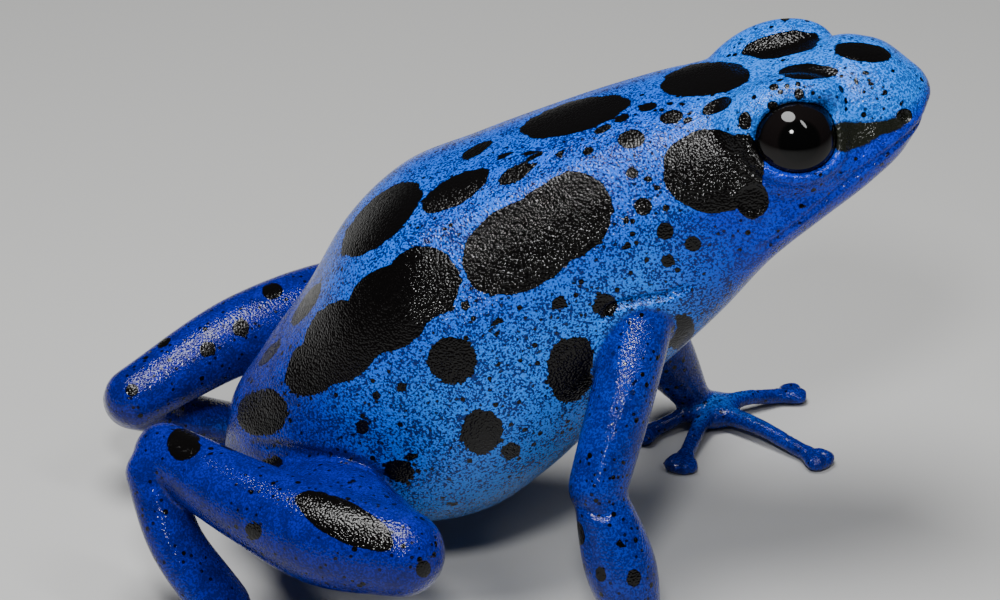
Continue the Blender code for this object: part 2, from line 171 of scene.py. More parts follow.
# A marking by its place in the picture: its middle, half length and half height in pixels, and
# how far its long axis is turned, counter-clockwise in degrees.
Spot = namedtuple("Spot", "name u v long high turn", defaults=(0.0,))
SPOTS = (
    Spot("far brow", 782, 45, 40, 13, 10),
    Spot("snout top", 862, 52, 30, 10, -7),
    Spot("brow inner edge", 808, 72, 30, 8.5, 0),
    Spot("back of the head", 705, 79, 47, 17, 7),
    Spot("behind the brow", 717, 106, 17, 7, 24),
    Spot("neck top", 648, 107, 10, 4.5, 15),
    Spot("neck top faint", 671, 117, 12, 7.5, 15),
    Spot("neck side", 631, 139, 14, 10, 10),
    Spot("behind the eye", 745, 121, 7, 9.5),
    Spot("temple", 706, 168, 45, 38, 10),
    Spot("temple front", 742, 168, 22, 34, 0),
    Spot("eye corner", 760, 150, 15, 20, 0),
    Spot("under the temple", 712, 190, 34, 24, 0),
    Spot("eardrum", 753, 200, 16, 19, 0),
    Spot("neck a", 643, 207, 9.5, 9.5),
    Spot("neck b", 665, 231, 9, 9),
    Spot("neck c", 693, 244, 8.5, 8.5),
    Spot("neck d", 668, 261, 8, 7),
    Spot("neck e", 626, 246, 6, 5.5),
    Spot("neck f", 647, 260, 3.5, 5),
    Spot("neck g", 632, 173, 7, 6),
    Spot("neck h", 648, 179, 5, 3.5),
    Spot("neck i", 666, 208, 4, 4.5),
    Spot("neck j", 631, 272, 3.5, 4),
    Spot("neck k", 626, 220, 4, 5),
    Spot("back middle", 574, 117, 58, 16, 16),
    Spot("back thin a", 603, 129, 10, 4, 24),
    Spot("back thin b", 557, 156, 8, 4.5, 26),
    Spot("back thin c", 588, 151, 6, 4, 26),
    Spot("back thin d", 622, 118, 8, 4.5, 24),
    Spot("back thin e", 505, 155, 9, 3.8, 22),
    Spot("back far", 476, 151, 20, 6, 30),
    Spot("back oval", 515, 174, 20, 8, 30),
    Spot("back long", 455, 191, 38, 13.5, 30),
    Spot("back rear", 380, 219, 52, 22, 42),
    Spot("flank oval low", 520, 247, 62, 44, 28),
    Spot("flank oval high", 563, 219, 54, 42, 36),
    Spot("patch front", 424, 282, 36, 37, 30),
    Spot("patch middle", 388, 309, 46, 41, 42),
    Spot("patch rear", 340, 342, 46, 39, 42),
    Spot("patch tail", 317, 364, 40, 27, 42),
    Spot("rump", 262, 412, 30, 24, 0),
    Spot("far rim a", 307, 304, 26, 7, 55),
    Spot("far rim b", 269, 354, 17, 5, 48),
    Spot("flank a", 451, 361, 25, 25),
    Spot("flank b", 496, 327, 11, 11),
    Spot("flank c", 561, 305, 10.5, 11.5),
    Spot("flank d", 604, 304, 12.5, 14, 60),
    Spot("flank e", 572, 369, 24, 36, -8),
    Spot("flank f", 482, 432, 22, 24),
    Spot("flank g", 511, 451, 10, 10),
    Spot("flank h", 362, 427, 8, 8),
    Spot("flank i", 403, 388, 7, 6.5),
    Spot("flank j", 377, 396, 5, 6),
    Spot("flank k", 400, 472, 16, 12, -20),
    Spot("flank l", 453, 504, 5, 4.5),
    Spot("flank m", 528, 364, 5, 4.5),
    Spot("flank n", 466, 307, 5.5, 5),
    Spot("chest", 681, 334, 14, 22, -8),
    Spot("heel", 184, 443, 17, 19),
    Spot("shank a", 272, 463, 13, 8, -4),
    Spot("shank oval", 345, 521, 55, 20, -27),
    Spot("shank b", 253, 531, 9, 10),
    Spot("knee", 424, 569, 8, 9),
    Spot("forearm a", 634, 578, 8, 9),
    Spot("forearm b", 601, 574, 6, 8),
    Spot("forearm c", 622, 543, 7, 5),
    Spot("elbow", 579, 534, 7, 12, 10),
    Spot("far shank a", 208, 350, 9, 9),
    Spot("far shank b", 241, 328, 9, 10),
    Spot("far shank c", 272, 291, 11, 9),
    Spot("far heel", 132, 390, 7, 7),
    Spot("brow dot a", 774, 87, 5, 4),
    Spot("brow dot b", 787, 86, 3, 3),
    Spot("brow dot c", 798, 84, 3, 3),
    Spot("brow dot d", 799, 94, 5, 6),
    Spot("brow dot e", 813, 93, 2.5, 2.5),
    Spot("brow dot f", 754, 97, 3, 3),
    Spot("brow dot g", 780, 80, 4.5, 1.6, 15),
    Spot("brow dot h", 809, 86, 1.8, 1.4),
    Spot("brow dot i", 814, 85, 1.4, 1.6),
    Spot("snout dot a", 841, 89, 2.6, 4.6, 25),
    Spot("snout dot b", 856, 81, 2.4, 4.6, 25),
    Spot("snout dot c", 871, 84, 4, 2.4, -25),
    Spot("snout dot d", 866, 73, 4, 2.5, -15),
    Spot("snout dot e", 869, 80, 2.4, 2.4),
    Spot("snout dot f", 883, 94, 2.6, 2.2),
    Spot("snout dot g", 846, 101, 1.8, 4, 10),
    Spot("snout dot h", 884, 109, 2.4, 2.2),
    Spot("snout dot i", 893, 71, 2.5, 2.2),
    Spot("snout dot j", 853, 88, 1.6, 1.4),
    Spot("snout dot k", 860, 92, 1.5, 1.4),
    Spot("snout dot l", 884, 81, 1.4, 1.8),
    Spot("snout dot m", 846, 109, 2, 2.6),
    Spot("snout dot n", 901, 104, 1.8, 3),
    Spot("lip dot a", 856, 159, 2.6, 2.2),
    Spot("lip dot b", 865, 147, 1.6, 3, 20),
    Spot("nostril", 904, 116, 9, 8.5),
    Spot("lid notch front", 829, 102, 7, 6.5),
    Spot("lid notch rear", 773, 106, 6, 5.5),
    Spot("far shank edge a", 193, 313, 12, 5, 30),
    Spot("far shank edge b", 164, 343, 8, 4, 35),
    Spot("flank dot a", 528, 350, 4, 4),
    Spot("flank dot b", 451, 308, 4, 4),
    Spot("flank dot c", 500, 362, 4, 4),
    Spot("flank dot d", 495, 373, 4, 4),
    Spot("flank dot e", 344, 400, 4, 4),
    Spot("flank dot f", 412, 457, 5, 5),
    Spot("flank dot g", 379, 437, 4, 4),
    Spot("flank dot h", 451, 479, 5, 5),
    Spot("flank dot i", 427, 451, 4, 4),
    Spot("back dot a", 578, 148, 5, 3, 20),
    Spot("back dot b", 671, 103, 5, 2.5, 10),
    Spot("back dot c", 688, 120, 5, 3, 15),
    Spot("back dot d", 682, 104, 4, 2),
    Spot("back dot e", 526, 154, 7, 3, 26),
    Spot("back dot f", 540, 154, 6, 3, 26),
    Spot("neck dot a", 657, 188, 3.5, 3.5),
)
# The dark stripe from the eye to the nostril: pixels along it, with its half height in pixels.
STRIPE = ((845, 137, 16), (862, 134, 12.5), (880, 128, 8), (893, 125, 7.5), (903, 117, 9))
NO_MARK = -4.0  # a marking's depth where none is near
MIRROR_DRIFT = 0.45  # how far the unseen side's spots lie from the mirrored ones, in millimetres
# A fold by pixels along it, from left to right: how far it rises, how deep the groove beside it
# is (below a flap, or above a plain fold where negative) and how wide it is, in millimetres.
Fold = namedtuple("Fold", "name marks rise groove width")
FOLDS = (
    Fold("shoulder", ((600, 326), (612, 311), (640, 303), (668, 298), (696, 285)), 0.16, 0.36, 0.8),
    Fold(
        "ridge", ((352, 287), (402, 250), (466, 222), (536, 188), (606, 156), (690, 126)),
        0.24, 0.0, 0.75,
    ),
    Fold("elbow", ((577, 506), (586, 513), (600, 519), (612, 519)), 0.12, 0.12, 0.9),
    Fold("groin", ((250, 434), (296, 440), (345, 452), (385, 468), (412, 492)), 0.12, -0.22, 0.5),
)
NOSTRIL = (905.0, 117.0)  # pixels, as for the spots
NOSTRIL_RADIUS = 0.2
NOSTRIL_RIM = 0.42  # how far out its raised rim lies
EARDRUM = (753.0, 200.0)
EARDRUM_RADIUS = 0.95
MOUTH_LEVEL = -0.35  # height of the mouth's line over the spine line at the snout
MOUTH_DROP = 0.95  # how much lower its corner is
MOUTH_CORNER = (33.0, 34.6)  # where it fades out, along the spine line


class FrogShape(bpy.types.PropertyGroup):
    """Sizes of the skin's finer shapes."""

    grain: FloatProperty(
        name="Mesh grain", description="Size of one mesh square", default=0.15 * MM, unit="LENGTH",
    )
    lid: FloatProperty(
        name="Lid", description="Thickness of the eyelids' edge", default=0.26 * MM, unit="LENGTH",
    )
    mouth: FloatProperty(
        name="Mouth", description="Depth of the mouth's line", default=0.2 * MM, unit="LENGTH",
    )
    faces: IntProperty(
        name="Triangles", description="Most triangles that the skin keeps", default=190000, min=20000,
    )


class FrogColours(bpy.types.PropertyGroup):
    """Colours of the skin and the eyes."""

    sky: FloatVectorProperty(
        name="Sky", description="Bright blue of the flanks", subtype="COLOR", size=3, min=0, max=1,
        default=(0.010, 0.20, 0.90),
    )
    cobalt: FloatVectorProperty(
        name="Cobalt", description="Blue of the back, cheeks and jaw", subtype="COLOR", size=3, min=0, max=1,
        default=(0.001, 0.024, 0.52),
    )
    deep: FloatVectorProperty(
        name="Deep", description="Ultramarine of the legs and arms", subtype="COLOR", size=3, min=0, max=1,
        default=(0.004, 0.009, 0.25),
    )
    # The belly blue is partly the belly's own colour and partly painted shade: it is set darker than the
    # belly is, to stand for the shade on the underside.
    belly: FloatVectorProperty(
        name="Belly", description="Paler blue of the belly", subtype="COLOR", size=3, min=0, max=1,
        default=(0.008, 0.13, 0.40),
    )
    speckle: FloatVectorProperty(
        name="Speckle", description="Dark blue between the bright grains", subtype="COLOR", size=3,
        min=0, max=1, default=(0.0005, 0.003, 0.07),
    )
    spot: FloatVectorProperty(
        name="Spot", description="Brown black of the spots", subtype="COLOR", size=3, min=0, max=1,
        default=(0.002, 0.0017, 0.0017),
    )
    stripe: FloatVectorProperty(
        name="Stripe", description="Olive black between the eye and the nostril", subtype="COLOR", size=3,
        min=0, max=1, default=(0.009, 0.010, 0.007),
    )


class FrogStage(bpy.types.PropertyGroup):
    """Floor, lights and surroundings."""

    floor: FloatVectorProperty(
        name="Floor", description="Colour of the floor", subtype="COLOR", size=3, min=0, max=1,
        default=(0.46, 0.46, 0.45),
    )
    key: FloatProperty(
        name="Key light", description="Power of the light above", default=0.56, unit="POWER",
    )
    front: FloatProperty(
        name="Front light", description="Power of the small light in front", default=0.32, unit="POWER",
    )
    side: FloatProperty(
        name="Side light", description="Power of the light to the right", default=0.1, unit="POWER",
    )
    glow: FloatProperty(
        name="Surroundings", description="Strength of the pale surroundings", default=0.04, min=0,
    )


def smooth_curve(knots, values, places):
    """A cubic through values at knots, read at places; each slope comes from both neighbours."""
    knots = np.asarray(knots, float)
    values = np.asarray(values, float)
    slopes = np.gradient(values, knots, axis=0)
    index = np.clip(np.searchsorted(knots, places, side="right") - 1, 0, len(knots) - 2)
    step = knots[index + 1] - knots[index]
    part = (places - knots[index]) / step
    if values.ndim > 1:
        part, step = part[:, None], step[:, None]
    start = (1 + 2 * part) * (1 - part) ** 2 * values[index]
    end = part**2 * (3 - 2 * part) * values[index + 1]
    lean = part * (1 - part) ** 2 * slopes[index] + part**2 * (part - 1) * slopes[index + 1]
    return start + end + lean * step


def fade(value, low, high):
    """0 at low and below, 1 at high and above, with a smooth rise 3t² − 2t³ between them."""
    part = np.clip((value - low) / (high - low), 0.0, 1.0)
    return part * part * (3 - 2 * part)


def bell(value, width):
    """1 at zero, falling off as exp(−(value / width)²)."""
    return np.exp(-((value / width) ** 2))


def on_body(along, out, above):
    """The point given along the spine line, out to the left and above the line."""
    parts = (along, ALONG), (out, LEFT), (above, BACK)
    return sum((np.multiply.outer(share, axis) for share, axis in parts), VENT)


def body_place(points):
    """How far points lie along the spine line, out to the left and above the line."""
    return np.moveaxis((points - VENT) @ BODY_AXES.T, -1, 0)


def closed_grid(rings, first, last):
    """Points and faces of rings across a path, closed by a fan to a point at each end."""
    count, sides, _ = rings.shape
    points = np.concatenate([rings.reshape(-1, 3), [first, last]])
    ring, side = np.meshgrid(np.arange(count - 1) * sides, np.arange(sides), indexing="ij")
    after = (side + 1) % sides
    corners = [ring + side, ring + after, ring + sides + after, ring + sides + side]
    quads = np.stack(corners, -1).reshape(-1, 4)
    around = np.arange(sides)
    following = (around + 1) % sides
    end = (count - 1) * sides
    start_fan = np.stack([following, around, np.full(sides, len(points) - 2)], -1)
    end_fan = np.stack([end + around, end + following, np.full(sides, len(points) - 1)], -1)
    return points, [*quads.tolist(), *start_fan.tolist(), *end_fan.tolist()]


def body_surface(rings=150, sides=110):
    """The body: cross-sections in place t, each a superellipse |cos a|^(2/n), |sin a|^(2/n)."""
    start, end = SECTIONS[0].along, SECTIONS[-1].along
    places = start + (end - start) * (1 - np.cos(np.pi * np.linspace(0, 1, rings))) / 2
    shape = smooth_curve([s.along for s in SECTIONS], [s[1:] for s in SECTIONS], places)
    dome = np.radians(np.linspace(75, 15, 5))
    places = np.concatenate([
        start - END_DOME * np.sin(dome), places, end + END_DOME * np.sin(dome[::-1]),
    ])
    shape = np.concatenate([shape[[0] * 5], shape, shape[[-1] * 5]])
    shrink = np.concatenate([np.cos(dome), np.ones(rings), np.cos(dome[::-1])])[:, None]
    top, level, under, half, square_top, square_under = shape.T[:, :, None]
    turn = 2 * np.pi * np.arange(sides) / sides
    across, up = np.cos(turn)[None, :], np.sin(turn)[None, :]
    power = np.where(up >= 0, 2 / square_top, 2 / square_under)
    out = half * shrink * np.sign(across) * np.abs(across) ** power
    reach = np.where(up >= 0, top - level, level - under) * shrink
    above = level + reach * np.sign(up) * np.abs(up) ** power
    points = on_body(places[:, None] + 0 * out, 0.0, 0.0) + out[..., None] * LEFT + above[..., None] * BACK
    ends = on_body(start - END_DOME, 0.0, level[0, 0]), on_body(end + END_DOME, 0.0, level[-1, 0])
    return closed_grid(points, *ends)


def tube(middle, half, forward, upward, ends, sides):
    """Oval rings across a path: middle + side·w·cos a + over·h·sin a."""
    side = np.cross(forward, upward)
    side /= np.linalg.norm(side, axis=1, keepdims=True)
    over = np.cross(side, forward)
    turn = 2 * np.pi * np.arange(sides) / sides
    across = half[:, :1] * np.cos(turn)
    up = half[:, 1:] * np.sin(turn)
    rings = middle[:, None] + side[:, None] * across[..., None] + over[:, None] * up[..., None]
    return closed_grid(rings, *ends)


def limb_path(path, radii, rings):
    """Middles, half sizes and directions along a limb, evenly spaced."""
    path = np.asarray(path, float)
    lengths = np.concatenate([[0.0], np.cumsum(np.linalg.norm(np.diff(path, axis=0), axis=1))])
    places = np.linspace(0, lengths[-1], rings)
    middle = smooth_curve(lengths, path, places)
    half = smooth_curve(lengths, np.transpose(radii), places)
    forward = np.gradient(middle, places, axis=0)
    return middle, half, forward / np.linalg.norm(forward, axis=1, keepdims=True)


def limb_surface(path, radii, upward, rings=44, sides=36):
    """A limb: an oval carried along its smooth path, with a round dome over each end."""
    middle, half, forward = limb_path(path, radii, rings)
    dome = np.radians(np.linspace(12, 80, 8))
    rise, fall = np.sin(dome)[:, None], np.cos(dome)[:, None]
    reach = half.min(axis=1)
    ends = middle[0] - forward[0] * reach[0], middle[-1] + forward[-1] * reach[-1]
    start = middle[0] - forward[0] * reach[0] * rise[::-1]
    end = middle[-1] + forward[-1] * reach[-1] * rise
    middle = np.concatenate([start, middle, end])
    half = np.concatenate([half[0] * fall[::-1], half, half[-1] * fall])
    forward = np.concatenate([forward[[0] * 8], forward, forward[[-1] * 8]])
    return tube(middle, half, forward, upward, ends, sides)


def disc_profile(back, narrow, wide):
    """Half size at a distance back from a digit's tip: a round nose, then an S-curve down."""
    nose = wide * np.sqrt(np.clip(1 - (1 - back / DISC_NOSE) ** 2, 0, 1))
    sweep = (1 + np.cos(np.pi * np.clip((back - DISC_NOSE) / (DISC_LENGTH - DISC_NOSE), 0, 1))) / 2
    return np.where(back < DISC_NOSE, nose, narrow + (wide - narrow) * sweep)


def digit_surface(root, tip, rings=46, sides=24):
    """A finger or toe: an oval along a low arch, widened into its disc at the tip."""
    start = np.array([root[0], root[1], DIGIT_ROOT_HEIGHT])
    end = np.array([tip[0], tip[1], DISC_HEIGHT])
    length = np.linalg.norm(end - start)
    shares = np.array([0.0, 0.5 - DISC_LENGTH / length / 2, 1 - DISC_LENGTH / length, 1.0])
    path = start + (end - start) * shares[:, None]
    path[1:3, 2] += DIGIT_ARCH, DIGIT_ARCH / 4
    places = length * np.sin(np.pi / 2 * np.linspace(0.0, 0.985, rings))
    middle = smooth_curve(shares * length, path, places)
    neck = length - DISC_LENGTH
    slim = smooth_curve(np.linspace(0, neck, 3), DIGIT_RADII, np.minimum(places, neck))
    back = length - places
    half = np.transpose([disc_profile(back, slim, DISC_WIDTH), disc_profile(back, slim, DISC_DEPTH)])
    forward = np.gradient(middle, places, axis=0)
    forward /= np.linalg.norm(forward, axis=1, keepdims=True)
    return tube(middle, half, forward, (0, 0, 1), (start, end), sides)


def ball_surface(centre, radii, axes, rings=40, sides=56):
    """An ellipsoid: centre + r1·cos a·axis1 + r2·sin a·cos b·axis2 + r3·sin a·sin b·axis3."""
    polar = np.pi * (np.arange(rings) + 1) / (rings + 1)
    turn = 2 * np.pi * np.arange(sides) / sides
    axes = np.asarray(axes, float)
    unit = np.stack([
        -np.cos(polar)[:, None] + 0 * turn,
        np.sin(polar)[:, None] * np.cos(turn),
        np.sin(polar)[:, None] * np.sin(turn),
    ], -1)
    points = centre + (unit * radii) @ axes
    return closed_grid(points, centre - radii[0] * axes[0], centre + radii[0] * axes[0])


def flat_axes(degrees):
    """Axes of a shape that lies on the floor, turned to an angle from +X."""
    angle = np.radians(degrees)
    forward = np.array([np.cos(angle), np.sin(angle), 0.0])
    up = np.array([0.0, 0.0, 1.0])
    return np.array([forward, np.cross(up, forward), up])


def digits(side):
    """Roots and tips of a side's fingers and toes."""
    arm, leg = ARMS[side], LEGS[side]
    sign = 1 if side == "left" else -1
    found = []
    palm, ankle = np.array(arm.palm), np.array(leg.ankle)
    for spread, length in arm.fingers:
        ahead = flat_axes(arm.heading + spread)[0]
        found.append((palm + ahead * FINGER_ROOT, palm + ahead * length))
    for spread, length in TOES:
        axes = flat_axes(leg.heading + sign * spread)
        root = ankle + axes[0] * TOE_ROOT + axes[1] * sign * (spread - TOE_CENTRE) * TOE_SPREAD
        found.append((root, ankle + axes[0] * length))
    return found


def limb_routes(side):
    """Path, radii and upward direction of each limb piece of a side."""
    leg, arm = LEGS[side], ARMS[side]
    sign = 1 if side == "left" else -1
    return {
        "thigh": ((leg.hip, leg.thigh_mid, leg.knee), THIGH, (0, 0, 1)),
        "shank": ((leg.knee, leg.shank_a, leg.shank_b, leg.heel), SHANK, (0, 0, 1)),
        "tarsus": ((leg.hock, leg.tarsus_mid, leg.ankle), TARSUS, TARSUS_UP * (1, sign, 1)),
        "upper_arm": ((arm.shoulder, arm.upper_mid, arm.elbow), UPPER_ARM, (1, 0, 0)),
        "forearm": ((arm.elbow, arm.fore_mid, arm.wrist), FOREARM, (1, 0, 0)),
    }


def flesh_surfaces():
    """Every loft of the flesh, overlapping its neighbours."""
    found = [body_surface()]
    tip = np.cos(BROW_TIP), np.sin(BROW_TIP)
    brow_axes = (ALONG * tip[0] - BACK * tip[1], LEFT, BACK * tip[0] + ALONG * tip[1])
    for side, sign in (("right", -1), ("left", 1)):
        brow = on_body(BROW[0], sign * BROW[1], BROW[2])
        found.append(ball_surface(brow, np.array(BROW_RADII), brow_axes))
        found += [limb_surface(*route) for route in limb_routes(side).values()]
        found += [digit_surface(root, tip) for root, tip in digits(side)]
        arm, leg = ARMS[side], LEGS[side]
        found.append(ball_surface(np.array(arm.palm), np.array(PALM_RADII), flat_axes(arm.heading)))
        axes = flat_axes(leg.heading - sign * SOLE_TURN)
        sole = np.array(leg.ankle) * (1, 1, 0) + axes[0] * SOLE_START + (0, 0, SOLE_RADII[2] - SOLE_SINK)
        found.append(ball_surface(sole, np.array(SOLE_RADII), axes))
    return found


def make_object(name, points, faces):
    """A smooth mesh object from points in millimetres."""
    mesh = bpy.data.meshes.new(name)
    mesh.from_pydata(((np.asarray(points) - MIDDLE) * MM).tolist(), [], faces)
    mesh.shade_smooth()
    item = bpy.data.objects.new(name, mesh)
    bpy.context.scene.collection.objects.link(item)
    return item


def apply_modifiers(item):
    """Puts what the object's modifiers give into its own mesh."""
    bpy.context.view_layer.update()
    done = bpy.data.meshes.new_from_object(item.evaluated_get(bpy.context.evaluated_depsgraph_get()))
    item.modifiers.clear()
    old = item.data
    item.data = done
    bpy.data.meshes.remove(old)
    done.name = item.name


def read_points(mesh):
    """Places of a mesh's points, in millimetres."""
    points = np.empty(len(mesh.vertices) * 3)
    mesh.vertices.foreach_get("co", points)
    return points.reshape(-1, 3) / MM + MIDDLE


def write_points(mesh, points):
    """Puts places in millimetres back into a mesh."""
    mesh.vertices.foreach_set("co", ((points - MIDDLE) * MM).astype(np.float32).ravel())
    mesh.update()


def read_normals(mesh):
    """Direction of the surface at each point."""
    normals = np.empty(len(mesh.vertices) * 3)
    mesh.vertices.foreach_get("normal", normals)
    return normals.reshape(-1, 3)


def read_edges(mesh):
    """Point pairs of a mesh's edges."""
    edges = np.empty(len(mesh.edges) * 2, int)
    mesh.edges.foreach_get("vertices", edges)
    return edges.reshape(-1, 2)


def soften(points, edges, steps, weight=1.0, pull=0.5, push=-0.52):
    """Moves each point towards its neighbours' mean, then back by nearly as much, steps times."""
    one, two = edges.T
    count = len(points)
    number = np.bincount(one, minlength=count) + np.bincount(two, minlength=count)
    weight = np.broadcast_to(np.asarray(weight, float), (count,))[:, None]
    for step in range(steps):
        for share in (pull, push) if push else (pull,):
            mean = np.stack([
                np.bincount(one, points[two, axis], count) + np.bincount(two, points[one, axis], count)
                for axis in range(3)
            ], -1) / number[:, None]
            points = points + (mean - points) * share * weight
    return points


def eye_axes(sign):
    """The eye's outward axis, its forward axis and its upward axis."""
    outward = np.array([0.10, sign * 0.93, 0.35])
    outward /= np.linalg.norm(outward)
    forward = np.array([1.0, 0.0, 0.0])
    forward -= outward * (forward @ outward)
    forward /= np.linalg.norm(forward)
    return outward, forward, -sign * np.cross(outward, forward)


def eye_centre(sign):
    """The middle of an eye."""
    return on_body(EYE[0], sign * EYE[1], EYE[2])


def lid_opening(turn):
    """Angle from the eye's outward axis to the lids' edge, for a turn about that axis.

    The edge is a superellipse of angles, (|cos t / wide|ⁿ + |sin t / tall|ⁿ)^(−1/n).
    """
    tall = np.radians(np.where(np.sin(turn) > 0, LID_ABOVE, LID_BELOW))
    wide = np.radians(LID_WIDE)
    power = 2 + LID_SQUARE * bell(turn - LID_CORNER, 0.55)
    return (np.abs(np.cos(turn) / wide) ** power + np.abs(np.sin(turn) / tall) ** power) ** (-1 / power)


def shape_lids(points, edges, lid):
    """Eyelids: heights over the plane across each eye's axis, by the distance past the lids' edge.

    Within the edge the skin follows the eyeball at the lid's thickness, h = √(c² − r²). Above,
    it swells at once to the brow, by 1 − (1 − x)². Below, a narrow band is followed by a groove.
    """
    crest = EYE_RADIUS + lid
    rough = np.zeros(len(points))
    for sign in (-1, 1):
        outward, forward, upward = eye_axes(sign)
        rel = points - eye_centre(sign)
        height, ahead, up = rel @ outward, rel @ forward, rel @ upward
        radius = np.hypot(ahead, up)
        turn = np.arctan2(up, ahead)
        angle = lid_opening(turn)
        past = radius - crest * np.sin(angle)
        closed = np.sqrt(np.maximum(crest**2 - radius**2, 0))
        edge = crest * np.cos(angle) - LID_LEAN * np.clip(past, 0, 1)
        over = fade(np.sin(turn), 0.0, 0.5)
        under = fade(-np.sin(turn), -0.2, 0.5)
        swell = 1 - (1 - np.clip(past / BROW_SWELL, 0, 1)) ** 2
        join = fade(past, *LID_JOIN)
        target = edge + (height - edge) * (join + (swell - join) * over)
        target -= (0.20 * under + 0.06) * bell(past - LID_GROOVE[0], LID_GROOVE[1]) * (1 - over)
        target += 0.07 * bell(past - LID_BAND[0], LID_BAND[1]) * (1 - over)
        target = np.where(past < 0, closed, target)
        near = (height > -0.6) & (past < 2.0)
        points = points + outward * np.where(near, target - height, 0.0)[:, None]
        rough = np.maximum(rough, np.where(near, bell(past, 0.35), 0.0))
    return soften(points, edges, 4, rough, 0.5, 0.0)


def opening_surface(sign, rings=24, sides=120):
    """The space between the lids: rays from the eye's middle at the lids' edge, out to a cap."""
    outward, forward, upward = eye_axes(sign)
    turn = -sign * 2 * np.pi * np.arange(sides) / sides
    angle = lid_opening(turn)
    flat = forward * np.cos(turn)[:, None] + upward * np.sin(turn)[:, None]
    reach = EYE_RADIUS * np.linspace(0.35, 1.9, rings)[:, None, None]
    rays = outward * np.cos(angle)[:, None] + flat * np.sin(angle)[:, None]
    centre = eye_centre(sign)
    ends = centre + outward * EYE_RADIUS * 0.1, centre + outward * EYE_RADIUS * 2.0
    return closed_grid(centre + reach * rays, *ends)


def cast(picker, u, v):
    """The place and direction of the skin that a pixel shows, in millimetres."""
    right = np.array([1.0, 0.0, 0.0])
    ray = VIEW * FOCAL + right * (u - PICTURE[0] / 2) - VIEW_UP * (v - PICTURE[1] / 2)
    start = Vector((CAMERA_AT - MIDDLE) * MM)
    place, normal, _, _ = picker.ray_cast(start, Vector(ray).normalized())
    if place is None:
        return None
    return np.array(place) / MM + MIDDLE, np.array(normal)


def project(points):
    """The pixels at which points are shown."""
    rel = points - CAMERA_AT
    deep = rel @ VIEW
    u = PICTURE[0] / 2 + FOCAL * rel[..., 0] / deep
    return u, PICTURE[1] / 2 - FOCAL * (rel @ VIEW_UP) / deep


def shape_head(points, normals, picker, mouth):
    """Mouth, nostrils, eardrums and the hollow before the eye, moved along the surface's normal."""
    along, out, above = body_place(points)
    side = np.abs(out)
    move = np.zeros(len(points))
    # The mouth runs round the snout and back below the eye, dipping behind it.
    line = MOUTH_LEVEL - MOUTH_DROP * fade(41.0 - along, 0.0, 8.0)
    reach = fade(along, *MOUTH_CORNER)
    move -= mouth * bell(above - line, 0.13) * reach
    move += 0.07 * bell(above - line - 0.45, 0.3) * reach
    move -= 0.08 * bell(above - line + 0.55, 0.4) * reach
    # The hollow between the brow's ridge and the lip, in front of the eye.
    move -= 0.22 * bell(along - 41.2, 1.0) * bell(above - 1.7, 0.8) * fade(side, 2.8, 4.0)
    nostril, _ = cast(picker, *NOSTRIL)
    for sign in (1, -1):
        far = np.linalg.norm(points - nostril * (1, sign, 1), axis=1)
        move += 0.10 * bell(far - NOSTRIL_RIM, 0.2) - 0.42 * bell(far, NOSTRIL_RADIUS)
    eardrum, _ = cast(picker, *EARDRUM)
    for sign in (1, -1):
        far = np.linalg.norm(points - eardrum * (1, sign, 1), axis=1)
        move += 0.06 * bell(far - EARDRUM_RADIUS, 0.18)
        move -= 0.05 * fade(-far, -EARDRUM_RADIUS, -EARDRUM_RADIUS + 0.3)
    return points + normals * move[:, None]


def shape_folds(points, normals, picker):
    """Skin folds along lines laid on the skin: a flap or ridge, and a groove beside it."""
    move = np.zeros(len(points))
    for fold in FOLDS:
        marks = np.array([cast(picker, u, v)[0] for u, v in fold.marks])
        for sign in (1, -1):
            line = marks * (1, sign, 1)
            knots = np.concatenate([[0.0], np.cumsum(np.linalg.norm(np.diff(line, axis=0), axis=1))])
            path = smooth_curve(knots, line, np.linspace(0, knots[-1], 80))
            near = np.flatnonzero(np.linalg.norm(points - path.mean(axis=0), axis=1) < knots[-1] / 2 + 2.5)
            rel = points[near, None] - path[None]
            index = np.linalg.norm(rel, axis=2).argmin(axis=1)
            ahead = np.gradient(path, axis=0)[index]
            ahead /= np.linalg.norm(ahead, axis=1, keepdims=True)
            offset = rel[np.arange(len(near)), index]
            level = np.einsum("ij,ij->i", offset, np.cross(normals[near], ahead)) * -sign
            beside = np.abs(np.einsum("ij,ij->i", offset, ahead))
            ends = np.sin(np.pi * index / 79) ** 0.6 * bell(beside, 0.5)
            ends *= np.linalg.norm(offset, axis=1) < 2 * fold.width + 0.4
            if fold.groove > 0:
                shape = fold.rise * fade(level, -0.06, 0.1) * bell(np.maximum(level, 0), fold.width)
            else:
                shape = fold.rise * bell(level, fold.width)
            place = -0.16 if fold.groove > 0 else fold.width
            move[near] += (shape - abs(fold.groove) * bell(level - place, 0.2)) * ends
    return points + normals * move[:, None]


def shape_discs(points, normals):
    """Two scutes on each finger and toe disc: a groove along its middle and one across its root."""
    move = np.zeros(len(points))
    for side in ("right", "left"):
        for root, tip in digits(side):
            ahead = (tip - root) * (1, 1, 0)
            ahead /= np.linalg.norm(ahead)
            rel = (points - tip) * (1, 1, 0)
            back, beside = -rel @ ahead, rel @ np.cross((0, 0, 1), ahead)
            on = fade(normals[:, 2], 0.1, 0.5) * (points[:, 2] < 1.6) * (np.abs(beside) < 1.3)
            along_disc = fade(back, -0.1, 0.15) * (1 - fade(back, 1.0, 1.35))
            move -= 0.13 * bell(beside, 0.13) * along_disc * on
            move += 0.07 * bell(np.abs(beside) - 0.45, 0.25) * along_disc * on
            move -= 0.07 * bell(back - 1.45, 0.13) * on * (np.abs(beside) < 1.0)
            for crease in (2.9, 3.3):
                move -= 0.035 * bell(back - crease, 0.1) * on
    return points + normals * move[:, None]


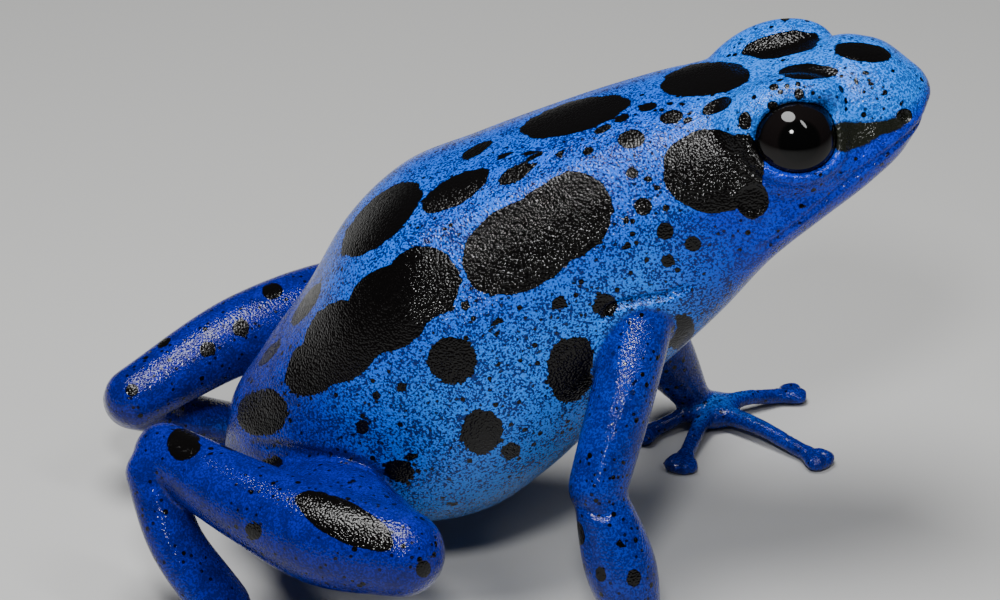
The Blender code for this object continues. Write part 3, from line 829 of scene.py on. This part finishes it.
class SkinBuilder(bpy.types.Operator):
    """Grows the lofts into one skin, shapes its details and paints its markings"""

    bl_idname = "frog.skin"
    bl_label = "Skin"

    def execute(self, context):
        shape = context.scene.frog_shape
        points, faces, count = [], [], 0
        for part, corners in flesh_surfaces():
            points.append(part)
            faces += [[corner + count for corner in face] for face in corners]
            count += len(part)
        skin = make_object("skin", np.concatenate(points), faces)
        grow = skin.modifiers.new("one skin", "REMESH")
        grow.mode = "VOXEL"
        grow.voxel_size = shape.grain
        apply_modifiers(skin)
        mesh = skin.data
        edges = read_edges(mesh)
        points = soften(read_points(mesh), edges, SOFT_STEPS)
        points = soften(points, edges, JOINT_STEPS, junction_weight(points), 0.5, 0.0)
        points = shape_lids(points, edges, shape.lid / MM)
        write_points(mesh, points)
        picker = BVHTree.FromObject(skin, bpy.context.evaluated_depsgraph_get())
        points = shape_head(points, read_normals(mesh), picker, shape.mouth / MM)
        points = shape_folds(points, read_normals(mesh), picker)
        points = shape_discs(points, read_normals(mesh))
        points = soften(points, edges, 1)
        points[:, 2] = np.maximum(points[:, 2], 0.0)
        write_points(mesh, points)
        cut_sockets(skin)
        keep_fewer(skin, shape.faces)
        mesh = skin.data
        mesh.shade_smooth()
        paint(skin)
        mesh.materials.clear()
        mesh.materials.append(skin_material(context.scene.frog_colours))
        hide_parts(*[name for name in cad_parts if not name.startswith("eye_")])
        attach(skin, "root")
        return {"FINISHED"}


def junction_weight(points):
    """How much each point is softened: most where limbs leave the body and where they bend."""
    weight = np.zeros(len(points))
    for side in ("right", "left"):
        leg, arm = LEGS[side], ARMS[side]
        for place, radius, amount in (
            (leg.knee, 3.0, 0.5), (leg.heel, 2.2, 0.4), (leg.hip, 6.0, 0.35), (leg.ankle, 2.4, 0.6),
            (arm.elbow, 2.2, 0.5), (arm.shoulder, 3.0, 0.25), (arm.wrist, 1.8, 0.6), (arm.palm, 2.2, 0.4),
        ):
            far = np.linalg.norm(points - place, axis=1)
            weight = np.maximum(weight, amount * bell(far, radius))
        sign = 1 if side == "left" else -1
        brow_foot = on_body(BROW[0] - 0.3, sign * 2.6, BROW[2] + 0.4)
        far = np.linalg.norm((points - brow_foot) / (1.3, 1, 1), axis=1)
        weight = np.maximum(weight, 0.5 * bell(far, 3.2))
    far = np.linalg.norm(points - on_body(SECTIONS[-1].along, 0.0, 1.0), axis=1)
    return np.maximum(weight, 0.8 * bell(far, 2.6))


def cut_sockets(skin):
    """Hollows the skin out around each eyeball, a hair wider than the eye."""
    cutters = []
    for sign in (-1, 1):
        axes = (ALONG, BACK, -LEFT)
        ball = ball_surface(eye_centre(sign), np.full(3, EYE_RADIUS + 0.03), axes, 60, 96)
        for name, shape in (("socket", ball), ("opening", opening_surface(sign))):
            item = make_object(f"{name}{sign}", *shape)
            step = skin.modifiers.new(item.name, "BOOLEAN")
            step.object = item
            step.operation = "DIFFERENCE"
            step.solver = "MANIFOLD"
            cutters.append(item)
    apply_modifiers(skin)
    for item in cutters:
        bpy.data.objects.remove(item)


def keep_fewer(skin, most):
    """Merges triangles where the skin is plain, and keeps the head's and the hands'."""
    mesh = skin.data
    now = sum(len(face.vertices) - 2 for face in mesh.polygons)
    if now <= most:
        return
    points = read_points(mesh)
    along, _, _ = body_place(points)
    head = fade(along, 27.0, 30.0) * fade(points[:, 2], 12.0, 15.0)
    plain = 1 - 0.94 * np.maximum(head, 0.8 * (1 - fade(points[:, 2], 1.6, 2.6)))
    group = skin.vertex_groups.new(name="plain")
    levels = np.round(plain * 10).astype(int)
    for level in np.unique(levels):
        group.add(np.flatnonzero(levels == level).tolist(), level / 10, "REPLACE")
    step = skin.modifiers.new("fewer", "DECIMATE")
    step.ratio = most / now
    step.vertex_group = group.name
    step.use_collapse_triangulate = True
    apply_modifiers(skin)
    skin.vertex_groups.clear()


def limb_nearness(points, side, name):
    """Distance from a limb's middle line, as a share of its half size there."""
    path, radii, upward = limb_routes(side)[name]
    middle, half, _ = limb_path(path, radii, 24)
    best = np.full(len(points), np.inf)
    for place, size in zip(middle, half.mean(axis=1)):
        best = np.minimum(best, np.linalg.norm(points - place, axis=1) / size)
    return best


def mark_spots(points, normals, piece, picker):
    """Distance of each point inside the nearest spot, and the size of that spot."""
    inside = np.full(len(points), NO_MARK)
    size = np.zeros(len(points))
    placed = []
    for spot in SPOTS:
        hit = cast(picker, spot.u, spot.v)
        if hit:
            placed.append((spot, *hit))
    for spot, place, normal in placed:
        deep, large = spot_depth(points, normals, piece, spot, place, normal)
        size = np.where(deep > inside, large, size)
        inside = np.maximum(inside, deep)
    # The unseen side has the same kind of spots, each a little out of its mirrored place.
    rng = np.random.default_rng(7)
    flip = (1, -1, 1)
    for spot, place, normal in placed:
        turned = normal * flip
        if turned @ VIEW < 0.12 or abs(place[1]) < 2.5:
            continue
        goal = place * flip + rng.normal(0, MIRROR_DRIFT, 3)
        found, direction, _, _ = picker.find_nearest(Vector((goal - MIDDLE) * MM))
        across = (points - np.array(found) / MM - MIDDLE) * flip + place
        deep, large = spot_depth(across, normals * flip, piece, spot, place, np.array(direction) * flip)
        size = np.where(deep > inside, large, size)
        inside = np.maximum(inside, deep)
    return inside, size


def mark_stripe(points, picker):
    """Distance inside the stripe: its half height there, less the way to the line through its marks."""
    stripe = np.full(len(points), NO_MARK)
    marks = [(cast(picker, u, v)[0], high / PIXELS_PER_MM) for u, v, high in STRIPE]
    for (one, high), (two, next_high) in zip(marks[:-1], marks[1:]):
        for sign in (1, -1):
            start, end = one * (1, sign, 1), two * (1, sign, 1)
            share = np.clip((points - start) @ (end - start) / ((end - start) @ (end - start)), 0, 1)
            far = np.linalg.norm(points - start - share[:, None] * (end - start), axis=1)
            stripe = np.maximum(stripe, high + (next_high - high) * share - far)
    return stripe


def cobalt_share(points, along, above):
    """How cobalt the blue is: on the rump, and on the lips and jaw below the eye."""
    dim = 0.9 * fade(15.0 - along, 0.0, 8.0) * fade(8.0 + above, 0.0, 6.0)
    dim = np.maximum(dim, 0.5 * fade(above, -1.0, 4.0) * (1 - fade(along, 32.0, 37.0)))
    lip = 2.0 - 0.16 * (along - 38)
    dim = np.maximum(dim, fade(lip - above, -0.3, 0.9) * fade(along, 26.0, 33.0))
    for sign in (-1, 1):
        rel = points - eye_centre(sign)
        under_eye = fade(-np.linalg.norm(rel, axis=1), -3.6, -3.1) * fade(-rel[:, 2], -0.6, 0.6)
        dim = np.maximum(dim, under_eye)
    return dim


def paint(skin):
    """Writes what the material reads: the spots, the stripe, and each stretch's share of a tone."""
    mesh = skin.data
    points, normals = read_points(mesh), read_normals(mesh)
    along, _, above = body_place(points)
    picker = BVHTree.FromObject(skin, bpy.context.evaluated_depsgraph_get())
    names = [(side, name) for side in ("right", "left") for name in limb_routes(side)]
    shares = np.stack([limb_nearness(points, side, name) for side, name in names])
    hind = np.array([name in ("thigh", "shank", "tarsus") for side, name in names])
    low = 1 - fade(points[:, 2], 1.2, 2.4)
    leg_tone = np.maximum(1 - fade(shares[hind].min(axis=0), 1.08, 1.3), low * (points[:, 0] < 0))
    arm_tone = np.maximum(1 - fade(shares[~hind].min(axis=0), 1.06, 1.2), low * (points[:, 0] >= 0))
    # Which piece of the frog a point belongs to: 0 for the body, then one number for each limb.
    piece = np.where(shares.min(axis=0) < 1.12, 1 + np.argmin(shares, axis=0), 0)
    inside, size = mark_spots(points, normals, piece, picker)
    body_tone = 1 - np.maximum(leg_tone, arm_tone)
    rump = 0.75 * fade(11.0 - along, 0.0, 6.0) * (1 - fade(-above, 1.5, 4.0))
    for name, values in (
        ("spot", inside),
        ("stripe", mark_stripe(points, picker)),
        ("leg", np.maximum(leg_tone, rump)),
        ("arm", arm_tone),
        # The belly share grows towards the underside; it carries the belly's own tone together with painted
        # shade there, and thins the pattern's grains.
        ("belly", fade(-above, 2.5, 8.5) * body_tone),
        ("head", fade(along, 30.0, 34.0) * body_tone),
        ("flank", fade(4.0 - above, 0.0, 2.0) * fade(30.0 - along, 0.0, 2.0) * body_tone),
        ("size", size),
        ("dim", cobalt_share(points, along, above)),
    ):
        layer = mesh.attributes.new(name, "FLOAT", "POINT")
        layer.data.foreach_set("value", values.astype(np.float32))


def spot_depth(points, normals, piece, spot, place, normal):
    """Distance inside a spot, in millimetres, (1 − √(s² + t² + d²))·size, and the spot's size.

    s and t are shares of the spot's half length and half height as the picture shows them, and d
    keeps it from running on where the skin turns away.
    """
    u, v = project(points)
    turn = np.radians(spot.turn)
    across = (u - spot.u) * np.cos(turn) - (v - spot.v) * np.sin(turn)
    up = (u - spot.u) * np.sin(turn) + (v - spot.v) * np.cos(turn)
    size = np.sqrt(spot.long * spot.high) / PIXELS_PER_MM
    rel = points - place
    largest = max(spot.long, spot.high) / PIXELS_PER_MM
    share = np.sqrt((across / spot.long) ** 2 + (up / spot.high) ** 2 + (rel @ VIEW / largest / 2.6) ** 2)
    deep = (1 - share) * size
    away = np.linalg.norm(rel, axis=1) > 1.9 * largest + 0.6
    nearest = np.argmin(np.linalg.norm(rel, axis=1))
    other = (piece != piece[nearest]) | (normals @ normal < 0.05) | away
    return np.where(other, NO_MARK, np.maximum(deep, NO_MARK)), size


class Maths:
    """A socket of a node tree; sums and products of it add the nodes that work them out."""

    def __init__(self, tree, socket):
        self.tree = tree
        self.socket = socket

    def _math(self, operation, *values):
        return self.tree.node("ShaderNodeMath", {"operation": operation}, dict(enumerate(values)))

    def __add__(self, other):
        return self._math("ADD", self, other)

    __radd__ = __add__

    def __sub__(self, other):
        return self._math("SUBTRACT", self, other)

    def __rsub__(self, other):
        return self._math("SUBTRACT", other, self)

    def __mul__(self, other):
        return self._math("MULTIPLY", self, other)

    __rmul__ = __mul__

    def most(self, other):
        """The larger of the two."""
        return self._math("MAXIMUM", self, other)

    def least(self, other):
        """The smaller of the two."""
        return self._math("MINIMUM", self, other)

    def rise(self, low, high):
        """0 at low, 1 at high, with a smooth rise between them."""
        ends = {0: self, 1: low, 2: high, 3: 0.0, 4: 1.0}
        return self.tree.node("ShaderNodeMapRange", {"interpolation_type": "SMOOTHSTEP"}, ends)


class Recipe:
    """A material's node tree, built by calls."""

    def __init__(self, name):
        self.material = bpy.data.materials.new(name)
        self.material.use_nodes = True
        self.nodes = self.material.node_tree.nodes
        self.links = self.material.node_tree.links
        self.nodes.clear()
        self.output = self.nodes.new("ShaderNodeOutputMaterial")

    def node(self, kind, settings=None, inputs=None, output=0):
        """A node of a type, its settings, then its sockets' values or links."""
        made = self.nodes.new(kind)
        for name, value in (settings or {}).items():
            setattr(made, name, value)
        for key, value in (inputs or {}).items():
            if isinstance(value, Maths):
                self.links.new(value.socket, made.inputs[key])
            else:
                made.inputs[key].default_value = value
        return Maths(self, made.outputs[output])

    def coordinates(self):
        """Places in the object's own space."""
        return self.node("ShaderNodeTexCoord", output="Object")

    def attribute(self, name):
        """A number kept on the mesh."""
        return self.node("ShaderNodeAttribute", {"attribute_name": name}, output="Fac")

    def noise(self, place, scale, detail=2.0, rough=0.5):
        """Smooth noise from 0 to 1; scale is in features for each millimetre."""
        inputs = {"Vector": place, "Scale": scale / MM, "Detail": detail, "Roughness": rough}
        return self.node("ShaderNodeTexNoise", None, inputs)

    def cells(self, place, scale, feature="F1", smooth=0.0):
        """Distance to the nearest of scattered points; scale is in cells for each millimetre."""
        inputs = {"Vector": place, "Scale": scale / MM}
        if feature == "SMOOTH_F1":
            inputs["Smoothness"] = smooth
        return self.node("ShaderNodeTexVoronoi", {"feature": feature}, inputs)

    def mix(self, share, one, two):
        """A colour between two."""
        inputs = {0: share, 6: colour(one), 7: colour(two)}
        return self.node("ShaderNodeMix", {"data_type": "RGBA"}, inputs, output=2)

    def finish(self, **inputs):
        """The surface itself."""
        shader = self.nodes.new("ShaderNodeBsdfPrincipled")
        for name, value in inputs.items():
            socket = shader.inputs[name.replace("_", " ")]
            if isinstance(value, Maths):
                self.links.new(value.socket, socket)
            else:
                socket.default_value = value
        self.links.new(shader.outputs[0], self.output.inputs[0])
        return self.material


def colour(value):
    """A colour as a node wants it."""
    return value if isinstance(value, Maths) else (*value, 1.0)


def skin_material(colours):
    """Wet granular skin: bright grains on dark blue, black spots with ragged edges."""
    make = Recipe("frog_skin")
    place = make.coordinates()
    leg, arm, belly, head = (make.attribute(name) for name in ("leg", "arm", "belly", "head"))
    fine = make.noise(place, 7.6, 1.5, 0.6)
    coarse = make.noise(place, 1.1, 2.0, 0.5)
    broad = make.noise(place, 0.22, 2.0, 0.5)
    ragged = make.noise(place, 3.4, 2.0, 0.6)
    grains = make.cells(place, 7.5, "SMOOTH_F1", 0.4)
    limb = leg.most(arm)
    dim = make.attribute("dim")
    base = make.mix((dim + (broad - 0.5) * 0.5).least(1.0).most(0.0), colours.sky, colours.cobalt)
    base = make.mix(leg.most(arm * 0.93), base, colours.deep)
    # Towards the underside the blue turns to the belly colour: partly the belly's own tone, partly painted
    # shade under the body.
    base = make.mix(belly * 0.8, base, colours.belly)
    dark = (fine + (coarse - 0.5) * 0.3 + limb * 0.03 - belly * 0.05).rise(0.47, 0.54)
    skin = make.mix(dark * (0.93 - head * 0.25 - limb * 0.25), base, colours.speckle)
    blotch = make.noise(place, 0.9, 3.0, 0.6).rise(0.5, 0.62)
    skin = make.mix(blotch * limb * 0.45, skin, colours.speckle)
    flank = make.attribute("flank")
    crowd = make.noise(place, 0.35, 1.0, 0.5) + (0.5 - belly) * 0.1 + flank * 0.05
    large = (1 - make.cells(place, 1.05).rise(0.15, 0.19)) * crowd.rise(0.47, 0.54)
    small = (1 - make.cells(place, 1.9).rise(0.17, 0.23)) * (crowd + coarse * 0.3).rise(0.58, 0.66)
    skin = make.mix(large.most(small * 0.9), skin, colours.spot)
    size = make.attribute("size")
    wave = (make.noise(place, 0.55, 1.0, 0.5) - 0.5) * 0.25 + (make.noise(place, 1.5, 1.0, 0.5) - 0.5) * 0.2
    fray = ((ragged - 0.5) * 0.22 + (fine - 0.5) * 0.16) * (0.2 + flank)
    edge = make.attribute("spot") + (wave + fray) * size.least(1.3)
    black = edge.rise(-0.025, 0.035)
    skin = make.mix(black, skin, colours.spot)
    band = (make.attribute("stripe") + (ragged - 0.5) * 0.2).rise(-0.05, 0.12)
    skin = make.mix(band, skin, colours.stripe)
    relief = ((1 - grains) + fine * 0.15 + make.noise(place, 2.6, 1.0, 0.5) * 0.25) * (1 - limb * 0.35)
    raised = {"Strength": 1.0, "Distance": 0.045 * MM, "Height": relief}
    bump = make.node("ShaderNodeBump", None, raised, "Normal")
    rough = 0.13 + (fine - 0.5) * 0.08 - limb * 0.03
    return make.finish(Base_Color=skin, Roughness=rough, Normal=bump, IOR=1.4, Specular_IOR_Level=0.36)


def eye_material():
    """A wet black eye with a faint dark brown iris."""
    make = Recipe("frog_eye")
    iris = make.attribute("iris")
    shade = make.mix(iris, (0.001, 0.001, 0.001), (0.004, 0.003, 0.003))
    return make.finish(Base_Color=shade, Roughness=0.05, IOR=1.33)


class EyeBuilder(bpy.types.Operator):
    """Makes both eyeballs, each with a faint iris round its pupil"""

    bl_idname = "frog.eyes"
    bl_label = "Eyes"

    def execute(self, context):
        black = eye_material()
        for side, sign in (("right", -1), ("left", 1)):
            outward, forward, upward = eye_axes(sign)
            centre = eye_centre(sign)
            points, faces = ball_surface(
                centre, np.full(3, EYE_RADIUS), (outward, forward, np.cross(outward, forward)), 70, 96
            )
            rel = points - centre
            level = rel @ outward / EYE_RADIUS
            item = make_object(f"eyeball_{side}", points, faces)
            iris = fade(level, 0.55, 0.62) * (1 - fade(level, 0.86, 0.9))
            layer = item.data.attributes.new("iris", "FLOAT", "POINT")
            layer.data.foreach_set("value", iris.astype(np.float32))
            item.data.materials.append(black)
            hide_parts(f"eye_{side}")
            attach(item, "root")
        return {"FINISHED"}


class StageBuilder(bpy.types.Operator):
    """Lays the pale floor and sets the lights, the surroundings and the camera"""

    bl_idname = "frog.stage"
    bl_label = "Stage"

    def execute(self, context):
        stage = context.scene.frog_stage
        half = FLOOR_HALF
        corners = np.array([(-half, -half, 0), (half, -half, 0), (half, half, 0), (-half, half, 0)]) + MIDDLE
        floor = make_object("floor", corners, [(0, 1, 2, 3)])
        make = Recipe("pale_floor")
        grain = make.noise(make.coordinates(), 0.02, 3.0, 0.5)
        shade = make.mix(grain * 0.1, stage.floor, (0.5, 0.5, 0.5))
        floor.data.materials.append(make.finish(Base_Color=shade, Roughness=0.7))
        for name, place, size, power in (
            ("key_light", (-25, -20, 205), (110, 90), stage.key),
            ("front_light", (-12, -165, 175), (32, 32), stage.front),
            ("side_light", (90, -80, 190), (24, 80), stage.side),
        ):
            light = bpy.data.lights.new(name, "AREA")
            light.shape = "ELLIPSE"
            light.size, light.size_y = size[0] * MM, size[1] * MM
            light.energy = power
            item = bpy.data.objects.new(name, light)
            item.location = np.array(place) * MM
            aim = Vector(LIGHTS_AIM) * MM - item.location
            item.rotation_euler = aim.to_track_quat("-Z", "Y").to_euler()
            context.scene.collection.objects.link(item)
        world = bpy.data.worlds.new("pale_room")
        world.use_nodes = True
        world.node_tree.nodes["Background"].inputs[0].default_value = (0.9, 0.93, 1.0, 1.0)
        world.node_tree.nodes["Background"].inputs[1].default_value = stage.glow
        context.scene.world = world
        lens = bpy.data.cameras.new("camera")
        lens.sensor_width = SENSOR
        lens.lens = SENSOR * FOCAL / PICTURE[0]
        lens.clip_start = 0.01
        lens.clip_end = 20.0
        camera = bpy.data.objects.new("camera", lens)
        camera.location = (CAMERA_AT - MIDDLE) * MM
        axes = np.array([[1, 0, 0], VIEW_UP, -VIEW]).T
        camera.rotation_euler = Matrix(axes.tolist()).to_euler()
        context.scene.collection.objects.link(camera)
        context.scene.camera = camera
        return {"FINISHED"}


class FrogPanel(bpy.types.Panel):
    """Lists the pieces and their settings"""

    bl_idname = "VIEW3D_PT_frog"
    bl_label = "Blue Poison Dart Frog"
    bl_space_type = "VIEW_3D"
    bl_region_type = "UI"
    bl_category = "Frog"

    def draw(self, context):
        for operator, group in zip((SkinBuilder, EyeBuilder, StageBuilder), GROUPS):
            settings = getattr(context.scene, group)
            for name in settings.__annotations__:
                self.layout.prop(settings, name)
            self.layout.operator(operator.bl_idname)


CLASSES = (FrogShape, FrogColours, FrogStage, SkinBuilder, EyeBuilder, StageBuilder, FrogPanel)
GROUPS = {"frog_shape": FrogShape, "frog_colours": FrogColours, "frog_stage": FrogStage}


def register():
    """Makes the settings, operators and panel known."""
    for kind in CLASSES:
        bpy.utils.register_class(kind)
    for name, kind in GROUPS.items():
        setattr(bpy.types.Scene, name, PointerProperty(type=kind))


def unregister():
    """Takes them away again."""
    for name in GROUPS:
        delattr(bpy.types.Scene, name)
    for kind in reversed(CLASSES):
        bpy.utils.unregister_class(kind)


def main():
    """Builds everything in order."""
    register()
    bpy.ops.frog.skin()
    bpy.ops.frog.eyes()
    bpy.ops.frog.stage()


if __name__ == "__main__":
    main()
